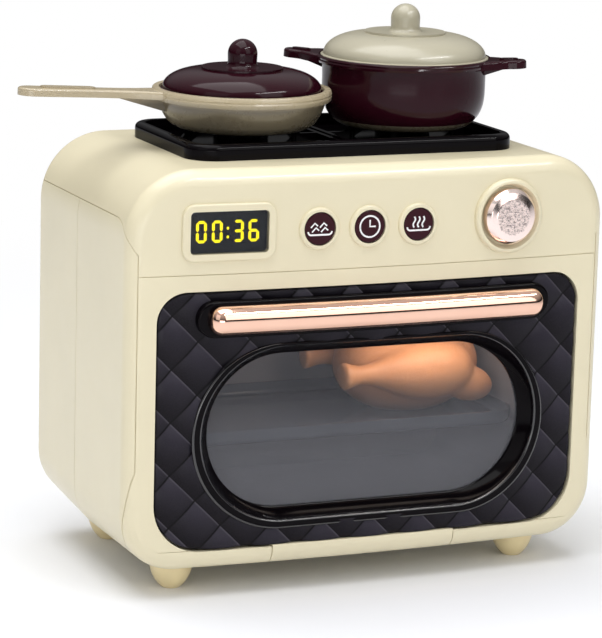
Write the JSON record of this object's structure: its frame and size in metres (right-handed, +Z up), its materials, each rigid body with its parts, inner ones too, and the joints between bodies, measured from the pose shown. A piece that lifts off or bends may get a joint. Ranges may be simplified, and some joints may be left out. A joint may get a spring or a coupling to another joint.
{
  "type": "toy oven",
  "caption": "Toy oven with a bowed front, quilted drop-down door and oval window, control panel, hob, lidded frying pan and pot, and a roast on a tray inside.",
  "frame": {"origin": "centre of the overall footprint, pan handle included, on the surface that the feet stand on", "axes": "+X to the right along the door as seen from the front, -Y out through the door, +Z up"},
  "size_m": [0.2684, 0.1472, 0.2641],
  "materials": {
    "cream_plastic": "smooth satin gloss",
    "black_plastic": "gloss",
    "tinted_window": "clear smoked",
    "rose_gold": "vacuum-plated satin",
    "burgundy_plastic": "gloss",
    "taupe_plastic": "smooth satin gloss",
    "grey_plastic": "satin",
    "roast_plastic": "painted, satin",
    "lamp_plastic": "frosted",
    "board": "lacquered",
    "steel": "plated",
    "battery_case": "printed sleeve"
  },
  "bodies": {
    "housing": {"front_frame": "cream_plastic", "top_shell": "cream_plastic", "rear_shell": "cream_plastic", "side_panel_left": "cream_plastic", "side_panel_right": "cream_plastic", "feet": "cream_plastic", "oven_liner": "black_plastic", "oven_tray": "grey_plastic", "oven_lamp": "lamp_plastic", "display_lens": "tinted_window", "display_module": "board", "control_board": "board", "rotary_switch": "black_plastic", "hob_tray": "black_plastic", "grate_left": "black_plastic", "grate_right": "black_plastic", "burner_left": "black_plastic", "burner_right": "black_plastic", "batteries": "battery_case", "battery_contacts": "steel", "battery_cover": "cream_plastic", "battery_screw": "steel", "speaker": "black_plastic", "rear_screws": "steel"},
    "door": {"door_frame": "black_plastic", "door_panel": "black_plastic", "window_bezel": "black_plastic", "window_pane": "tinted_window", "hinge_block": "cream_plastic", "hinge_pins": "steel", "handle_plinth": "black_plastic", "door_handle": "rose_gold", "door_screws": "steel"},
    "knob": {"knob_cap": "rose_gold", "knob_spindle": "steel"},
    "frying_pan": {"frying_pan": "taupe_plastic", "frying_pan_base": "taupe_plastic"},
    "frying_pan_lid": {"frying_pan_lid": "burgundy_plastic"},
    "pot": {"pot": "burgundy_plastic", "pot_base": "taupe_plastic"},
    "pot_lid": {"pot_lid": "taupe_plastic"},
    "roast_chicken": {"roast_chicken": "roast_plastic"},
    "button_roast": {"button_roast": "burgundy_plastic"},
    "button_timer": {"button_timer": "burgundy_plastic"},
    "button_steam": {"button_steam": "burgundy_plastic"}
  },
  "joints": [
    {"name": "door_hinge", "type": "hinge", "parent": "housing", "child": "door", "pos_m": [0.01425, -0.0581, 0.0182], "axis": [1, 0, 0], "range_deg": [0, 90]},
    {"name": "knob_turn", "type": "hinge", "parent": "housing", "child": "knob", "pos_m": [0.08045, -0.06073, 0.1722], "axis": [-0.0505, 0.9987, 0], "range_deg": [0, 300]},
    {"name": "frying_pan_lift", "type": "slide", "parent": "housing", "child": "frying_pan", "axis": [0, 0, 1], "range_m": [0, 0.06]},
    {"name": "frying_pan_lid_lift", "type": "slide", "parent": "frying_pan", "child": "frying_pan_lid", "axis": [0, 0, 1], "range_m": [0, 0.06]},
    {"name": "pot_lift", "type": "slide", "parent": "housing", "child": "pot", "axis": [0, 0, 1], "range_m": [0, 0.06]},
    {"name": "pot_lid_lift", "type": "slide", "parent": "pot", "child": "pot_lid", "axis": [0, 0, 1], "range_m": [0, 0.06]},
    {"name": "roast_chicken_lift", "type": "slide", "parent": "housing", "child": "roast_chicken", "axis": [0, 0, 1], "range_m": [0, 0.008]},
    {"name": "button_roast_press", "type": "slide", "parent": "housing", "child": "button_roast", "axis": [0.023, 0.9997, 0], "range_m": [0, 0.0015], "stiffness_N_per_m": 400},
    {"name": "button_timer_press", "type": "slide", "parent": "housing", "child": "button_timer", "axis": [0.0043, 1, 0], "range_m": [0, 0.0015], "stiffness_N_per_m": 400},
    {"name": "button_steam_press", "type": "slide", "parent": "housing", "child": "button_steam", "axis": [-0.0145, 0.9999, 0], "range_m": [0, 0.0015], "stiffness_N_per_m": 400}
  ]
}
